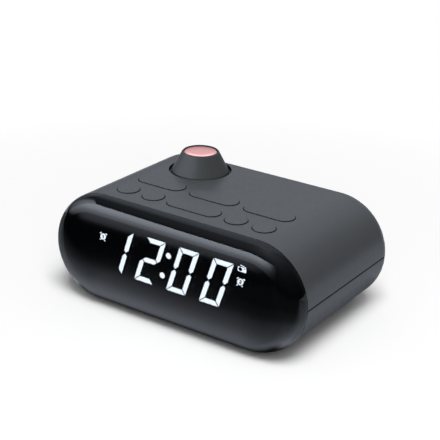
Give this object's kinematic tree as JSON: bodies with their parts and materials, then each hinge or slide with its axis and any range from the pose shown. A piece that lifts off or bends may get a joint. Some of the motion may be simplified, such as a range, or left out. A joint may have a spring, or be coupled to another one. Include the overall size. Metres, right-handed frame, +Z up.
{
  "type": "projection alarm clock",
  "caption": "Bedside alarm clock with a pill-shaped casing, a dark curved lens over a seven-segment display, keys on top and a ceiling projector with a focus ring.",
  "frame": {"origin": "middle of the footprint, on the surface that the rubber feet stand on", "axes": "+X along the width to the right as seen from the front, -Y out of the front lens, +Z up"},
  "size_m": [0.162, 0.1064, 0.0753],
  "materials": {
    "casing": "fine matt texture, dark grey",
    "key_cap": "fine matt texture, dark grey",
    "focus_ring": "satin, dark grey",
    "smoked_lens": "polished, smoked nearly black",
    "black_plastic": "plain black moulding",
    "lit_diffuser": "white diffuser, lit cool white",
    "dark_diffuser": "diffuser, unlit, behind black ink",
    "led_chip": "lamp chip",
    "circuit_board": "green solder mask",
    "flat_cable": "flat cable",
    "steel": "zinc plated",
    "painted_steel": "black paint",
    "projector_lens": "clear lens, lit red from within",
    "clear_optics": "clear",
    "red_lamp": "red moulded lamp",
    "paper_cone": "pressed black paper",
    "magnet": "plain ferrite",
    "spring_brass": "plated spring strip",
    "rubber": "black rubber"
  },
  "bodies": {
    "clock": {"upper_casing": "casing", "lower_casing": "casing", "front_lens": "smoked_lens", "light_box": "black_plastic", "lit_segments": "lit_diffuser", "dark_segments": "dark_diffuser", "display_leds": "led_chip", "display_board": "circuit_board", "display_ribbon": "flat_cable", "key_board": "circuit_board", "key_switches": "black_plastic", "key_ribbon": "flat_cable", "main_board": "circuit_board", "board_components": "black_plastic", "projector_housing": "black_plastic", "projector_slide": "clear_optics", "projector_lamp": "red_lamp", "projector_board": "circuit_board", "projector_ribbon": "flat_cable", "speaker_basket": "painted_steel", "speaker_cone": "paper_cone", "speaker_magnet": "magnet", "speaker_lead": "flat_cable", "coin_cell": "steel", "cell_contacts": "spring_brass", "power_inlet": "black_plastic", "aerial_grommet": "rubber", "rubber_feet": "rubber", "casing_screws": "steel", "small_screws": "steel"},
    "alarm_1_key": {"alarm_1_button": "key_cap", "alarm_1_plunger": "black_plastic"},
    "alarm_2_key": {"alarm_2_button": "key_cap", "alarm_2_plunger": "black_plastic"},
    "snooze_key": {"snooze_button": "key_cap", "snooze_plunger": "black_plastic"},
    "hour_key": {"hour_button": "key_cap", "hour_plunger": "black_plastic"},
    "minute_key": {"minute_button": "key_cap", "minute_plunger": "black_plastic"},
    "projector_key": {"projector_button": "key_cap", "projector_plunger": "black_plastic"},
    "radio_key": {"radio_button": "key_cap", "radio_plunger": "black_plastic"},
    "memory_key": {"memory_button": "key_cap", "memory_plunger": "black_plastic"},
    "focus_ring": {"focus_ring": "focus_ring"},
    "lens_barrel": {"lens_barrel": "black_plastic", "guide_pins": "steel", "projector_lens": "projector_lens", "rear_lens": "clear_optics"},
    "battery_cap": {"battery_cap": "casing"}
  },
  "joints": [
    {"name": "alarm_1_press", "type": "slide", "parent": "clock", "child": "alarm_1_key", "axis": [0, 0, -1], "range_m": [0, 0.0006], "stiffness_N_per_m": 2000, "springref_m": -0.0004},
    {"name": "alarm_2_press", "type": "slide", "parent": "clock", "child": "alarm_2_key", "axis": [0, 0, -1], "range_m": [0, 0.0006], "stiffness_N_per_m": 2000, "springref_m": -0.0004},
    {"name": "snooze_press", "type": "slide", "parent": "clock", "child": "snooze_key", "axis": [0, 0, -1], "range_m": [0, 0.0006], "stiffness_N_per_m": 2000, "springref_m": -0.0004},
    {"name": "hour_press", "type": "slide", "parent": "clock", "child": "hour_key", "axis": [0, 0, -1], "range_m": [0, 0.0006], "stiffness_N_per_m": 2000, "springref_m": -0.0004},
    {"name": "minute_press", "type": "slide", "parent": "clock", "child": "minute_key", "axis": [0, 0, -1], "range_m": [0, 0.0006], "stiffness_N_per_m": 2000, "springref_m": -0.0004},
    {"name": "projector_press", "type": "slide", "parent": "clock", "child": "projector_key", "axis": [0, 0, -1], "range_m": [0, 0.0006], "stiffness_N_per_m": 2000, "springref_m": -0.0004},
    {"name": "radio_press", "type": "slide", "parent": "clock", "child": "radio_key", "axis": [0, 0, -1], "range_m": [0, 0.0006], "stiffness_N_per_m": 2000, "springref_m": -0.0004},
    {"name": "memory_press", "type": "slide", "parent": "clock", "child": "memory_key", "axis": [0, 0, -1], "range_m": [0, 0.0006], "stiffness_N_per_m": 2000, "springref_m": -0.0004},
    {"name": "focus_turn", "type": "hinge", "parent": "clock", "child": "focus_ring", "pos_m": [-0.0321, 0.02725, 0.06], "axis": [0, 0, 1], "range_deg": [-45, 45]},
    {"name": "barrel_lift", "type": "slide", "parent": "clock", "child": "lens_barrel", "axis": [0, 0, 1], "range_m": [-0.0015, 0.0015]},
    {"name": "cap_turn", "type": "hinge", "parent": "clock", "child": "battery_cap", "pos_m": [-0.03, -0.008, 0.003], "axis": [0, 0, -1], "range_deg": [0, 45]}
  ],
  "couplings": [
    {"joint": "barrel_lift", "follows": "focus_turn", "m_per_rad": 0.0019098}
  ]
}
